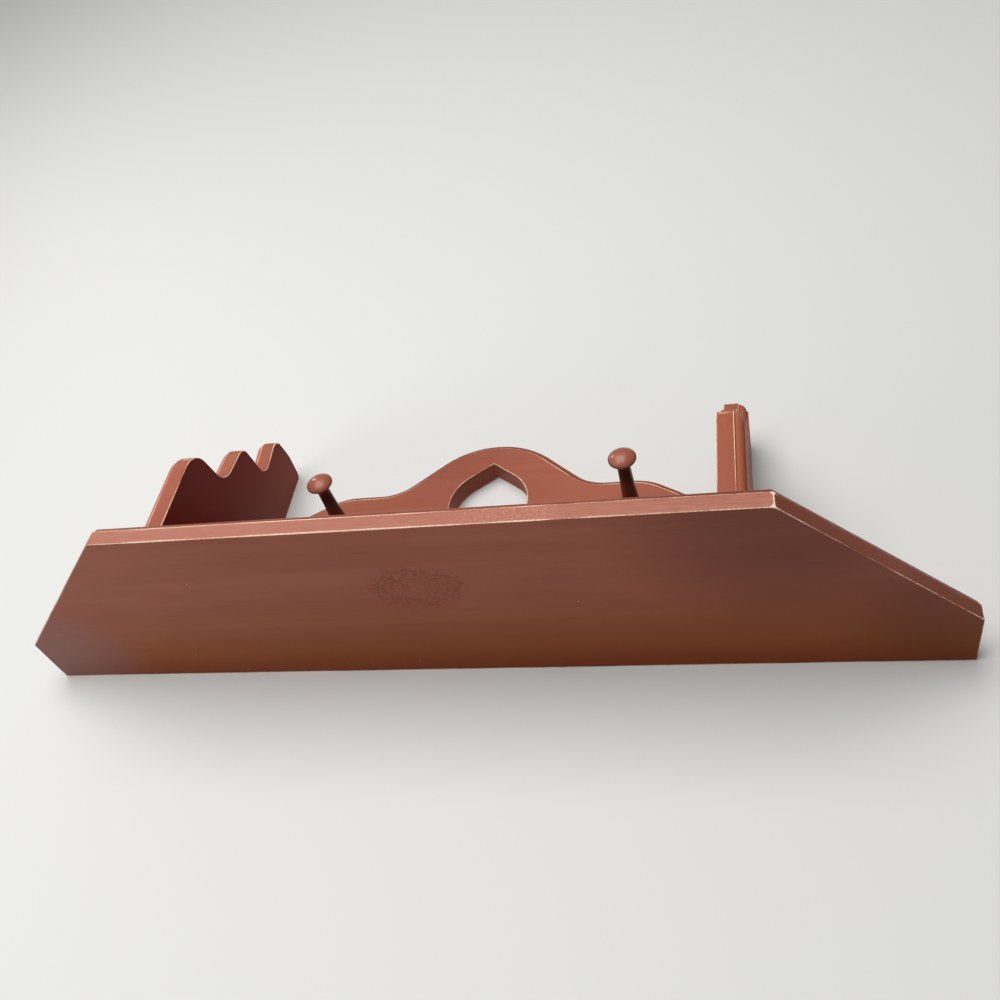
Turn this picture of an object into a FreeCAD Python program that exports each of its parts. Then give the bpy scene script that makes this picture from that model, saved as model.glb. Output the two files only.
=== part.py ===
import FreeCAD, Part
import math
import os

# A painted country wall shelf: a clipped-corner shelf board on two stepped brackets,
# a shaped backboard between them with a heart cut through it, and two turned pegs.
#
# Millimetres. +Z is up, +X runs along the shelf, +Y points into the wall.
# The wall is the plane Y = 0. The origin lies on it, midway between the two hanger slots.
# A "drop" is measured down from the shelf's top face, a "depth" out from the wall.

Vector = FreeCAD.Vector

# ---- shelf board ----
shelf_length = 711.2
shelf_depth = 171.5
shelf_thickness = 19.05
shelf_end_depth = 48.0          # square part of each end, next to the wall
shelf_front_length = 461.6      # straight front edge between the two slanted ends
hang_drop = 52.0                # hanger slots below the shelf's top face

# ---- routed edge, cut with one cutter along the shelf, brackets and backboard ----
cutter_radius = 5.8
cutter_shoulder = 1.2           # small step at both ends of the quarter round
eased_edge = 0.8                # sanding of the shelf's top edges

# ---- brackets: a stepped profile, each step measured down from the one above it ----
bracket_thickness = 19.05
bracket_gap = 393.7             # clear width between the two inner faces
bracket_depth = 148.0
nose_drop = 109.0               # bottom of the first, upper step
nose_radius = 22.0
upper_notch_depth = 98.0
upper_notch_fall = 10.0
upper_notch_radius = 19.0
middle_step_depth = 93.5
middle_step_fall = 44.0
middle_step_radius = 12.0
lower_notch_depth = 49.5
lower_notch_fall = 6.0
lower_notch_radius = 12.0
lower_step_depth = 54.5
lower_step_fall = 40.5
lower_step_radius = 11.0
belly_depth = 26.0              # lowest point of the curved bottom end
belly_fall = 5.0
belly_radius = 60.0
heel_rise = 2.0                 # from the lowest point up to the wall
left_bracket_extra = 2.3        # the left bracket was sawn this much longer below the shelf
left_nose_extra = 3.0           # and its nose, the first step, this much lower still

# ---- backboard: its lower edge from the middle out is a hump, a saddle and a shoulder ----
backboard_thickness = 18.0
hump_drop = 218.8               # middle of the lower edge
hump_flat = 1.6
hump_radius = 71.0
hump_slope = 41.0               # degrees
saddle_rise = 49.8              # from the bottom of the hump up to the saddle
saddle_width = 50.0
saddle_inner_radius = 38.0
saddle_outer_radius = 48.0
shoulder_slope = 31.0           # degrees
shoulder_rise = 34.0            # from the saddle up to the shoulder at the bracket
shoulder_radius = 18.0

# ---- heart cut-out ----
lobe_drop = 143.0               # centres of the two lobes
lobe_radius = 17.5
lobe_overlap = 2.0              # how far the two lobes run into each other
heart_upright = 25.1            # from the lobe centres down to the bend of the side
heart_bend_radius = 37.5
heart_side_slope = 36.87        # degrees

# ---- turned pegs ----
peg_spacing = 247.6
peg_drop = 128.2
peg_length = 71.0               # from the backboard's face to the top of the head
right_peg_shorter = 5.0         # the right peg was turned this much shorter
peg_base_radius = 8.2
peg_waist_radius = 5.9
peg_neck_radius = 5.1
peg_head_height = 13.5          # from the neck to the top of the head
peg_head_radius = 10.8
peg_head_lip = 1.2              # straight rim of the head
peg_dome_height = 4.6
flare_bulge = 0.36              # how far the flare hollows in, as a share of its width
tenon_radius = 6.35
tenon_length = 14.0
tenon_chamfer = 1.0

# ---- dowels ----
dowel_radius = 4.0
dowel_length = 30.0
dowel_chamfer = 0.8
dowel_depth_in_face = 11.0      # the end that enters a board's face
backboard_dowel_pitch = 92.0
backboard_dowel_count = 4
bracket_dowel_margin = 32.0     # the first one, behind the front of the bracket
bracket_dowel_pitch = 44.0
bracket_dowel_count = 3
end_dowel_drop = 52.0           # the upper one in the backboard's ends
end_dowel_pitch = 58.0
end_dowel_count = 2

# ---- keyhole hanger plates and their screws ----
hanger_spacing = 320.0
plate_width = 19.0
plate_height = 46.0
plate_thickness = 2.0
plate_corner_radius = 3.0
keyhole_entry_radius = 5.0
keyhole_slot_width = 5.2
keyhole_slot_rise = 9.0         # from the centre of the entry to the seat in the slot
head_room_depth = 9.0           # cavity for the wall screw's head, from the back face
head_room_margin = 1.5
plate_screw_pitch = 36.0
plate_screw_radius = 1.6
plate_screw_length = 12.0
plate_screw_head_radius = 3.2
plate_screw_head_height = 1.7
plate_screw_slot_width = 0.8
plate_screw_slot_depth = 0.9

# ---- clearances ----
dowel_clearance = 0.15          # around a dowel or a tenon
end_clearance = 0.8             # past the end of a dowel, tenon or screw
recess_clearance = 0.25         # around a hanger plate
screw_clearance = 0.1
overrun = 20.0                  # how far an outline or a cutter runs past a board

# ---- values worked out from those above ----
rout_width = cutter_radius + cutter_shoulder
shelf_top = hang_drop
shelf_underside = shelf_top - shelf_thickness
bracket_inner = bracket_gap / 2
bracket_outer = bracket_inner + bracket_thickness
upper_notch_drop = nose_drop + upper_notch_fall
middle_step_drop = upper_notch_drop + middle_step_fall
lower_notch_drop = middle_step_drop + lower_notch_fall
lower_step_drop = lower_notch_drop + lower_step_fall
belly_drop = lower_step_drop + belly_fall
saddle_drop = hump_drop - saddle_rise
shoulder_drop = saddle_drop - shoulder_rise
lobe_x = lobe_radius - lobe_overlap / 2
backboard_middle = -backboard_thickness / 2
dowel_depth_in_edge = dowel_length - dowel_depth_in_face


def height(drop):
    """Height above the origin of a point that lies below the shelf's top face."""
    return shelf_top - drop


def rounded_corner(before, corner, after, radius):
    """Start, middle and end of the arc that rounds one corner of an outline."""
    to_before = (before - corner).normalize()
    to_after = (after - corner).normalize()
    half_angle = to_before.getAngle(to_after) / 2
    reach = radius / math.tan(half_angle)
    inward = (to_before + to_after).normalize()
    middle = corner + inward * (radius / math.sin(half_angle) - radius)
    return corner + to_before * reach, middle, corner + to_after * reach


def outline(corners):
    """Closed wire through (point, radius) corners, with an arc at each radius."""
    count = len(corners)
    edges = []
    stops = []
    for index, (point, radius) in enumerate(corners):
        if radius == 0:
            stops.append((point, point))
            continue
        before = corners[index - 1][0]
        after = corners[(index + 1) % count][0]
        start, middle, end = rounded_corner(before, point, after, radius)
        stops.append((start, end))
        edges.append(Part.Arc(start, middle, end).toShape())
    for index in range(count):
        leave = stops[index][1]
        arrive = stops[(index + 1) % count][0]
        if leave.distanceToPoint(arrive) > 1e-6:
            edges.append(Part.makeLine(leave, arrive))
    return Part.Wire(Part.__sortEdges__(edges))


def box_between(low, high):
    """Box with its edges along the axes, given two opposite corners."""
    return Part.makeBox(high.x - low.x, high.y - low.y, high.z - low.z, low)


def far_edges(solid, direction):
    """Edges of the flat face that lies furthest along a direction."""
    face = max(solid.Faces, key=lambda item: item.CenterOfMass.dot(direction))
    return face.Edges


def routed_board(wire, thickness, direction):
    """Board with the routed quarter round and its two shoulders around one face.

    The wire is the outline of the plain face; direction points to the routed one.
    """
    band = Part.Face(wire).extrude(direction * (thickness - rout_width))
    inset = wire.makeOffset2D(-cutter_shoulder, join=2)
    rounded = Part.Face(inset).extrude(direction * (thickness - cutter_shoulder))
    rounded = rounded.makeFillet(cutter_radius, far_edges(rounded, direction))
    inset = wire.makeOffset2D(-rout_width, join=2)
    core = Part.Face(inset).extrude(direction * thickness)
    return band.fuse([rounded, core]).removeSplitter()


def peg_hole(side):
    """Blind hole for a peg's tenon in the backboard's front face."""
    radius = tenon_radius + dowel_clearance
    start = Vector(side * peg_spacing / 2, -backboard_thickness, height(peg_drop))
    return Part.makeCylinder(radius, tenon_length + end_clearance, start, Vector(0, 1, 0))


def dowel_places_in_backboard_top():
    """Joint points on the backboard's top edge."""
    first = -backboard_dowel_pitch * (backboard_dowel_count - 1) / 2
    return [
        Vector(first + index * backboard_dowel_pitch, backboard_middle, shelf_underside)
        for index in range(backboard_dowel_count)
    ]


def dowel_places_in_bracket_top(side):
    """Joint points on a bracket's top edge, from its front towards the wall."""
    x = side * (bracket_inner + bracket_thickness / 2)
    front = -(bracket_depth - bracket_dowel_margin)
    return [
        Vector(x, front + index * bracket_dowel_pitch, shelf_underside)
        for index in range(bracket_dowel_count)
    ]


def dowel_places_in_backboard_end(side):
    """Joint points where an end of the backboard meets a bracket."""
    return [
        Vector(side * bracket_inner, backboard_middle,
               height(end_dowel_drop + index * end_dowel_pitch))
        for index in range(end_dowel_count)
    ]


def dowel_rod(place, into_face, grow=0.0, past_end=0.0, chamfer=0.0):
    """Rod across a joint: into_face points into the board whose face it enters."""
    start = place - into_face * (dowel_depth_in_edge + past_end)
    rod = Part.makeCylinder(dowel_radius + grow, dowel_length + 2 * past_end, start, into_face)
    if chamfer:
        rims = [edge for edge in rod.Edges if isinstance(edge.Curve, Part.Circle)]
        rod = rod.makeChamfer(chamfer, rims)
    return rod


def dowel_holes(places, into_face):
    """Holes for a row of dowels, a little wider and deeper than the dowels."""
    return [dowel_rod(place, into_face, dowel_clearance, end_clearance) for place in places]


def dowels(places, into_face):
    """A row of chamfered dowels as one shape of separate solids."""
    rods = [dowel_rod(place, into_face, chamfer=dowel_chamfer) for place in places]
    return Part.makeCompound(rods)


def shelf_plan():
    """Plan of the shelf with its two slanted corners, run on past the wall."""
    end = shelf_length / 2
    front = shelf_front_length / 2
    plan = [
        (-end, overrun), (-end, -shelf_end_depth), (-front, -shelf_depth),
        (front, -shelf_depth), (end, -shelf_end_depth), (end, overrun),
    ]
    return outline([(Vector(x, y, shelf_top), 0) for x, y in plan])


def make_shelf_board():
    """Shelf: routed below, eased above, square against the wall."""
    shelf = routed_board(shelf_plan(), shelf_thickness, Vector(0, 0, -1))
    reach = shelf_length / 2 + overrun
    low = Vector(-reach, -shelf_depth - overrun, shelf_underside - overrun)
    high = Vector(reach, 0, shelf_top + overrun)
    shelf = shelf.common(box_between(low, high))
    shelf = shelf.makeFillet(eased_edge, far_edges(shelf, Vector(0, 0, 1)))
    holes = dowel_holes(dowel_places_in_backboard_top(), Vector(0, 0, 1))
    for side in (-1, 1):
        holes += dowel_holes(dowel_places_in_bracket_top(side), Vector(0, 0, 1))
    return shelf.cut(holes)


def bracket_extra(side):
    """How much longer than drawn a bracket is."""
    return left_bracket_extra if side < 0 else 0.0


def nose_extra(side):
    """How much lower still the nose of a bracket is."""
    return left_nose_extra if side < 0 else 0.0


def bracket_profile(side):
    """Stepped side view of a bracket on its inner face, run on past wall and shelf."""
    heel_slope = heel_rise / belly_depth
    steps = [
        (bracket_depth, nose_drop + nose_extra(side), nose_radius),
        (upper_notch_depth, upper_notch_drop, upper_notch_radius),
        (middle_step_depth, middle_step_drop, middle_step_radius),
        (lower_notch_depth, lower_notch_drop, lower_notch_radius),
        (lower_step_depth, lower_step_drop, lower_step_radius),
        (belly_depth, belly_drop, belly_radius),
        (-overrun, belly_drop - heel_slope * (belly_depth + overrun), 0),
    ]
    extra = bracket_extra(side)
    profile = [(bracket_depth, shelf_thickness - overrun, 0)]
    profile += [(depth, drop + extra, radius) for depth, drop, radius in steps]
    profile.append((-overrun, shelf_thickness - overrun, 0))
    x = side * bracket_inner
    return outline([(Vector(x, -depth, height(drop)), radius) for depth, drop, radius in profile])


def make_bracket(side):
    """Bracket: plain inner face, routed outer face, trimmed to the wall and the shelf."""
    bracket = routed_board(bracket_profile(side), bracket_thickness, Vector(side, 0, 0))
    reach = bracket_outer + overrun
    lowest = height(belly_drop + bracket_extra(side))
    low = Vector(-reach, -bracket_depth - overrun, lowest - overrun)
    high = Vector(reach, 0, shelf_underside)
    bracket = bracket.common(box_between(low, high))
    holes = dowel_holes(dowel_places_in_bracket_top(side), Vector(0, 0, 1))
    holes += dowel_holes(dowel_places_in_backboard_end(side), Vector(side, 0, 0))
    return bracket.cut(holes)


def backboard_front_view():
    """Backboard seen from the front, run on past the brackets and the shelf."""
    hump_angle = math.radians(hump_slope)
    hump_x = hump_flat / 2 + hump_radius * math.tan(hump_angle / 2)
    saddle_inner_x = hump_x + saddle_rise / math.tan(hump_angle)
    saddle_outer_x = saddle_inner_x + saddle_width
    shoulder_x = saddle_outer_x + shoulder_rise / math.tan(math.radians(shoulder_slope))
    run_out = max(shoulder_x, bracket_inner) + overrun
    half = [
        (hump_x, hump_drop, hump_radius),
        (saddle_inner_x, saddle_drop, saddle_inner_radius),
        (saddle_outer_x, saddle_drop, saddle_outer_radius),
        (shoulder_x, shoulder_drop, shoulder_radius),
        (run_out, shoulder_drop, 0),
        (run_out, shelf_thickness - overrun, 0),
    ]
    left = [(-x, drop, radius) for x, drop, radius in reversed(half)]
    return outline([(Vector(x, 0, height(drop)), radius) for x, drop, radius in half + left])


def heart_half(side):
    """One half of the heart opening: a straight side, a bend and a round lobe."""
    half_width = lobe_x + lobe_radius
    foot = Vector(0, 0, height(lobe_drop))
    waist = foot + Vector(side * half_width, 0, 0)
    corner = waist - Vector(0, 0, heart_upright)
    side_fall = half_width * math.tan(math.radians(heart_side_slope))
    tip = foot - Vector(0, 0, heart_upright + side_fall)
    start, middle, end = rounded_corner(tip, corner, waist, heart_bend_radius)
    lobe_top = foot + Vector(side * lobe_x, 0, lobe_radius)
    cleft = foot + Vector(0, 0, math.sqrt(lobe_radius ** 2 - lobe_x ** 2))
    edges = [
        Part.makeLine(tip, start),
        Part.Arc(start, middle, end).toShape(),
        Part.makeLine(end, waist),
        Part.Arc(waist, lobe_top, cleft).toShape(),
        Part.makeLine(cleft, foot),
        Part.makeLine(foot, tip),
    ]
    return Part.Face(Part.Wire(edges))


def heart_cut():
    """Heart-shaped cutter through the backboard."""
    through = Vector(0, -(backboard_thickness + 2 * overrun), 0)
    halves = []
    for side in (-1, 1):
        face = heart_half(side)
        face.translate(Vector(0, overrun, 0))
        halves.append(face.extrude(through))
    return halves[0].fuse(halves[1]).removeSplitter()


def upright_plate(width, tall, corner_radius, depth, middle):
    """Upright rounded plate; middle is on its back face, and depth runs to the front."""
    half_width = width / 2
    half_height = tall / 2
    corners = [
        (-half_width, -half_height), (half_width, -half_height),
        (half_width, half_height), (-half_width, half_height),
    ]
    wire = outline([(middle + Vector(x, 0, z), corner_radius) for x, z in corners])
    return Part.Face(wire).extrude(Vector(0, -depth, 0))


def keyhole(side, grow, depth):
    """Keyhole cutter from the back face: a round entry with a slot rising from it."""
    seat = Vector(side * hanger_spacing / 2, 0, 0)
    entry = seat - Vector(0, 0, keyhole_slot_rise)
    inward = Vector(0, -1, 0)
    slot_radius = keyhole_slot_width / 2 + grow
    entry_cut = Part.makeCylinder(keyhole_entry_radius + grow, depth, entry, inward)
    seat_cut = Part.makeCylinder(slot_radius, depth, seat, inward)
    low = entry + Vector(-slot_radius, -depth, 0)
    high = seat + Vector(slot_radius, 0, 0)
    return entry_cut.fuse([seat_cut, box_between(low, high)]).removeSplitter()


def head_room(side):
    """Cavity behind a keyhole where the wall screw's head slides up."""
    radius = keyhole_entry_radius + head_room_margin
    seat = Vector(side * hanger_spacing / 2, 0, 0)
    entry = seat - Vector(0, 0, keyhole_slot_rise)
    inward = Vector(0, -1, 0)
    ends = [Part.makeCylinder(radius, head_room_depth, point, inward) for point in (entry, seat)]
    low = entry + Vector(-radius, -head_room_depth, 0)
    high = seat + Vector(radius, 0, 0)
    return ends[0].fuse([ends[1], box_between(low, high)]).removeSplitter()


def plate_middle(side):
    """Middle of a hanger plate, on the wall plane; the keyhole is centred on it."""
    return Vector(side * hanger_spacing / 2, 0, -keyhole_slot_rise / 2)


def plate_screw_places(side):
    """The two screws of one hanger plate, above and below its keyhole."""
    middle = plate_middle(side)
    return [middle + Vector(0, 0, end * plate_screw_pitch / 2) for end in (-1, 1)]


def countersunk(place, grow, length):
    """Screw blank with a conical head flush with the wall plane."""
    inward = Vector(0, -1, 0)
    head = Part.makeCone(
        plate_screw_head_radius + grow, plate_screw_radius + grow,
        plate_screw_head_height, place, inward)
    shank = Part.makeCylinder(plate_screw_radius + grow, length, place, inward)
    return head.fuse(shank).removeSplitter()


def hanger_recess(side):
    """Everything cut into the backboard's back for one hanger plate."""
    recess = upright_plate(
        plate_width + 2 * recess_clearance, plate_height + 2 * recess_clearance,
        plate_corner_radius + recess_clearance, plate_thickness, plate_middle(side))
    pilots = [
        Part.makeCylinder(plate_screw_radius + screw_clearance,
                          plate_screw_length + end_clearance, place, Vector(0, -1, 0))
        for place in plate_screw_places(side)
    ]
    return [recess, head_room(side)] + pilots


def make_backboard():
    """Backboard: shaped and routed lower edge, heart, peg holes and hanger recesses."""
    board = routed_board(backboard_front_view(), backboard_thickness, Vector(0, -1, 0))
    low = Vector(-bracket_inner, -backboard_thickness - overrun, height(hump_drop) - overrun)
    high = Vector(bracket_inner, overrun, shelf_underside)
    board = board.common(box_between(low, high))
    cuts = [heart_cut()] + dowel_holes(dowel_places_in_backboard_top(), Vector(0, 0, 1))
    for side in (-1, 1):
        cuts += dowel_holes(dowel_places_in_backboard_end(side), Vector(side, 0, 0))
        cuts += hanger_recess(side)
        cuts.append(peg_hole(side))
    return board.cut(cuts)


def make_peg(side):
    """Turned peg: tapering shaft, flared neck, domed head, and a tenon behind."""
    length = peg_length - (right_peg_shorter if side > 0 else 0.0)
    neck_reach = length - peg_head_height
    rim_back = length - peg_dome_height - peg_head_lip
    rim_front = length - peg_dome_height
    flare_reach = neck_reach + (rim_back - neck_reach) * (1 - flare_bulge)
    flare_radius = peg_neck_radius + (peg_head_radius - peg_neck_radius) * flare_bulge
    ball_radius = (peg_head_radius ** 2 + peg_dome_height ** 2) / (2 * peg_dome_height)
    half_angle = math.asin(peg_head_radius / ball_radius) / 2
    dome_reach = length - ball_radius * (1 - math.cos(half_angle))
    dome_radius = ball_radius * math.sin(half_angle)

    def at(reach, radius):
        return Vector(radius, -reach, 0)

    back = at(-tenon_length, 0)
    tenon_rim = at(-tenon_length, tenon_radius - tenon_chamfer)
    tenon_edge = at(-tenon_length + tenon_chamfer, tenon_radius)
    tenon_root = at(0, tenon_radius)
    base = at(0, peg_base_radius)
    waist = at(neck_reach / 2, peg_waist_radius)
    neck = at(neck_reach, peg_neck_radius)
    flare = at(flare_reach, flare_radius)
    rim_under = at(rim_back, peg_head_radius)
    rim_over = at(rim_front, peg_head_radius)
    dome = at(dome_reach, dome_radius)
    top = at(length, 0)
    section = [
        Part.makeLine(back, tenon_rim),
        Part.makeLine(tenon_rim, tenon_edge),
        Part.makeLine(tenon_edge, tenon_root),
        Part.makeLine(tenon_root, base),
        Part.Arc(base, waist, neck).toShape(),
        Part.Arc(neck, flare, rim_under).toShape(),
        Part.makeLine(rim_under, rim_over),
        Part.Arc(rim_over, dome, top).toShape(),
        Part.makeLine(top, back),
    ]
    peg = Part.Face(Part.Wire(section)).revolve(Vector(0, 0, 0), Vector(0, 1, 0), 360)
    peg.translate(Vector(side * peg_spacing / 2, -backboard_thickness, height(peg_drop)))
    return peg


def make_hanger_plate(side):
    """Steel keyhole plate, flush with the wall plane, with two countersunk holes."""
    plate = upright_plate(plate_width, plate_height, plate_corner_radius,
                          plate_thickness, plate_middle(side))
    holes = [keyhole(side, 0, plate_thickness)]
    for place in plate_screw_places(side):
        holes.append(countersunk(place, screw_clearance, plate_thickness))
    return plate.cut(holes)


def make_plate_screw(place):
    """Countersunk screw with a pointed end and a cross slot."""
    screw = countersunk(place, 0, plate_screw_length - plate_screw_radius)
    point_start = place - Vector(0, plate_screw_length - plate_screw_radius, 0)
    point = Part.makeCone(plate_screw_radius, 0, plate_screw_radius, point_start, Vector(0, -1, 0))
    screw = screw.fuse(point)
    long_half = plate_screw_head_radius / 2
    short_half = plate_screw_slot_width / 2
    for half_x, half_z in ((long_half, short_half), (short_half, long_half)):
        low = place + Vector(-half_x, -plate_screw_slot_depth, -half_z)
        high = place + Vector(half_x, 0, half_z)
        screw = screw.cut(box_between(low, high))
    return screw


def make_plate_screws(side):
    """Both screws of one hanger plate as one shape of separate solids."""
    return Part.makeCompound([make_plate_screw(place) for place in plate_screw_places(side)])


def build():
    """Every node's name with its shape."""
    nodes = {
        "shelf_board": make_shelf_board(),
        "backboard": make_backboard(),
        "dowels_shelf_backboard": dowels(dowel_places_in_backboard_top(), Vector(0, 0, 1)),
    }
    for name, side in (("left", -1), ("right", 1)):
        nodes["bracket_" + name] = make_bracket(side)
        nodes["peg_" + name] = make_peg(side)
        nodes["dowels_shelf_bracket_" + name] = dowels(
            dowel_places_in_bracket_top(side), Vector(0, 0, 1))
        nodes["dowels_backboard_bracket_" + name] = dowels(
            dowel_places_in_backboard_end(side), Vector(side, 0, 0))
        nodes["hanger_plate_" + name] = make_hanger_plate(side)
        nodes["hanger_screws_" + name] = make_plate_screws(side)
    return nodes


os.makedirs("parts", exist_ok=True)
for node, shape in build().items():
    shape.exportStep("parts/" + node + ".step")
    print(node, len(shape.Solids), "solids", round(shape.Volume), "mm3", shape.isValid())
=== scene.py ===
"""Looks of a painted country wall shelf with two pegs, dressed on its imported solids.

Lengths are millimetres until a point is placed; the scene itself is in metres.
A "drop" is measured down from the shelf's top face, a "depth" out from the wall.
"""

import math

import bmesh
import bpy
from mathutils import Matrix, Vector, noise
from mathutils.geometry import delaunay_2d_cdt


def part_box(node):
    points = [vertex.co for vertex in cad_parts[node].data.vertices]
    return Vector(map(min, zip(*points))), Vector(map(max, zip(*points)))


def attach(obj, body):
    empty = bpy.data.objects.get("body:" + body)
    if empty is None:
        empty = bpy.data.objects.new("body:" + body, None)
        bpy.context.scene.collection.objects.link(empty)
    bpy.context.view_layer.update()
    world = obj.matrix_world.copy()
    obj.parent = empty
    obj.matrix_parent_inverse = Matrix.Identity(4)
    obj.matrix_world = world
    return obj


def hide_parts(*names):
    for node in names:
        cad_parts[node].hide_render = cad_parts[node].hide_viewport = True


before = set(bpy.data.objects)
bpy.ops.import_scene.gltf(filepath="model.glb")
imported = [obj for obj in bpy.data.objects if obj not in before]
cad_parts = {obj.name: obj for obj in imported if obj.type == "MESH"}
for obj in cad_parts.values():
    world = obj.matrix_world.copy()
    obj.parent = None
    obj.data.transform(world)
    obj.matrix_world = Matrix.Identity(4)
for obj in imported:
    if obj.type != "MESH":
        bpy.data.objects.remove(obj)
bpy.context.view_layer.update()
MM = 0.001
quarter_turn = math.pi / 2

# ---- sizes read from the solids ----
shelf_low, shelf_high = (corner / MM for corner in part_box("shelf_board"))
board_low, _ = (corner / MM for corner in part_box("backboard"))
bracket_low, bracket_high = (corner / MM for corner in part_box("bracket_right"))
plate_low, plate_high = (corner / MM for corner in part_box("hanger_plate_right"))
shelf_top = shelf_high.z
shelf_thickness = shelf_high.z - shelf_low.z
shelf_end = shelf_high.x
shelf_depth = -shelf_low.y
bracket_inner = bracket_low.x
board_thickness = bracket_high.x - bracket_low.x
backboard_thickness = -board_low.y

# ---- outlines, as built ----
shelf_end_depth = 48.0
shelf_front_half = 230.8
bracket_steps = (  # depth, drop, radius
    (148.0, 109.0, 22.0),
    (98.0, 119.0, 19.0),
    (93.5, 163.0, 12.0),
    (49.5, 169.0, 12.0),
    (54.5, 209.5, 11.0),
    (26.0, 214.5, 60.0),
)
bracket_heel_drop, bracket_heel_radius = 212.5, 4.0
left_bracket_extra, left_nose_extra = 2.3, 3.0
hump_drop, hump_flat, hump_radius, hump_slope = 218.8, 1.6, 71.0, 41.0
saddle_rise, saddle_width = 49.8, 50.0
saddle_inner_radius, saddle_outer_radius = 38.0, 48.0
shoulder_slope, shoulder_rise, shoulder_radius = 31.0, 34.0, 18.0
lobe_drop, lobe_radius, lobe_overlap = 143.0, 17.5, 2.0
heart_upright, heart_bend_radius, heart_side_slope = 25.1, 37.5, 36.87
plate_recess_gap, plate_recess_radius = 0.25, 3.25
plate_recess_depth, head_room_depth, head_room_radius = 2.0, 9.0, 6.5
keyhole_rise = 9.0
shelf_corner_radius = 0.9
shelf_dents = (  # chipped corners: place, radius, depth
    ((-shelf_front_half, -shelf_depth, shelf_top - 1.0), 2.5, 0.6),
    ((shelf_front_half, -shelf_depth, shelf_top - 2.0), 2.5, 0.6),
    ((shelf_end, -shelf_end_depth, shelf_top - 2.0), 3.0, 0.7),
    ((-shelf_end, -shelf_end_depth, shelf_top - 4.0), 3.0, 0.6),
)

# ---- routed edge ----
cutter_radius = 5.8
cutter_shoulder = 1.2
rout_width = cutter_radius + cutter_shoulder
sanded = 0.7  # easing of a plain arris
crisp = 0.3  # easing beside the cutter's shoulders, under the paint
joint_ease = 0.12  # easing of an arris in a glued joint
heart_ease = 0.5  # easing of the heart's arrises
band_shares = (0.2, 0.45, 0.7)  # rings across the plain band
bracket_rim_spared = 0.45  # the last arris of a bracket counts as this much further off

# ---- points of the meshes ----
spacing = 4.0  # between points along an outline
arc_spacing = 1.6  # between points round a corner
least_arc_steps = 4
least_radius = 0.03  # a rounded corner stays this round when its outline moves in
shortest_side = 0.5  # a shorter side has no points between its corners
sharp_radius = 1.0  # a corner up to this radius counts as sharp
convex_turn = 0.3  # radians, less is no corner that wears
corner_gaps = (0.5, 1.1, 2.0, 3.2)  # points beside a sharp corner
face_steps = (0.8, 1.7, 3.0, 5.0)  # rings on a face beside an edge
far = face_steps[-1]  # beyond this the distance to an arris no longer counts
ease_steps, shoulder_steps, round_steps = 4, 3, 9
wall_shares = (0.25, 0.5, 0.75)  # rings across the heart's walls
heart_side_steps, heart_bend_steps, heart_lobe_steps = 6, 14, 20
pill_steps = 6
hair = 0.01  # keeps a round end from doubling its points

# ---- hand sanding ----
sanding_reach, sanding_depth = 1.2, 0.35
coarse_marks, fine_marks, fine_share = 90, 260, 0.6


# ------------------------------ outlines

def turn_between(before, after):
    """Signed angle from one direction to the next, positive to the left."""
    return math.atan2(before.cross(after), before.dot(after))


def arc_round(middle, spoke, turn, steps):
    """Points of an arc round a middle, from the end of a spoke, both ends included."""
    points = []
    for step in range(steps + 1):
        angle = turn * step / steps
        points.append(middle + Vector((
            spoke.x * math.cos(angle) - spoke.y * math.sin(angle),
            spoke.x * math.sin(angle) + spoke.y * math.cos(angle),
        )))
    return points


def moved_corner(point, before, after, inset_before, inset_after):
    """Corner of two sides that have both moved to their left."""
    left_before = Vector((-before.y, before.x))
    left_after = Vector((-after.y, after.x))
    crossing = before.cross(after)
    if abs(crossing) < 1e-6:
        return point + left_before * inset_before
    reach = left_before * inset_before + point
    other = left_after * inset_after + point
    along = (other - reach).cross(after) / crossing
    return reach + before * along


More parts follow.
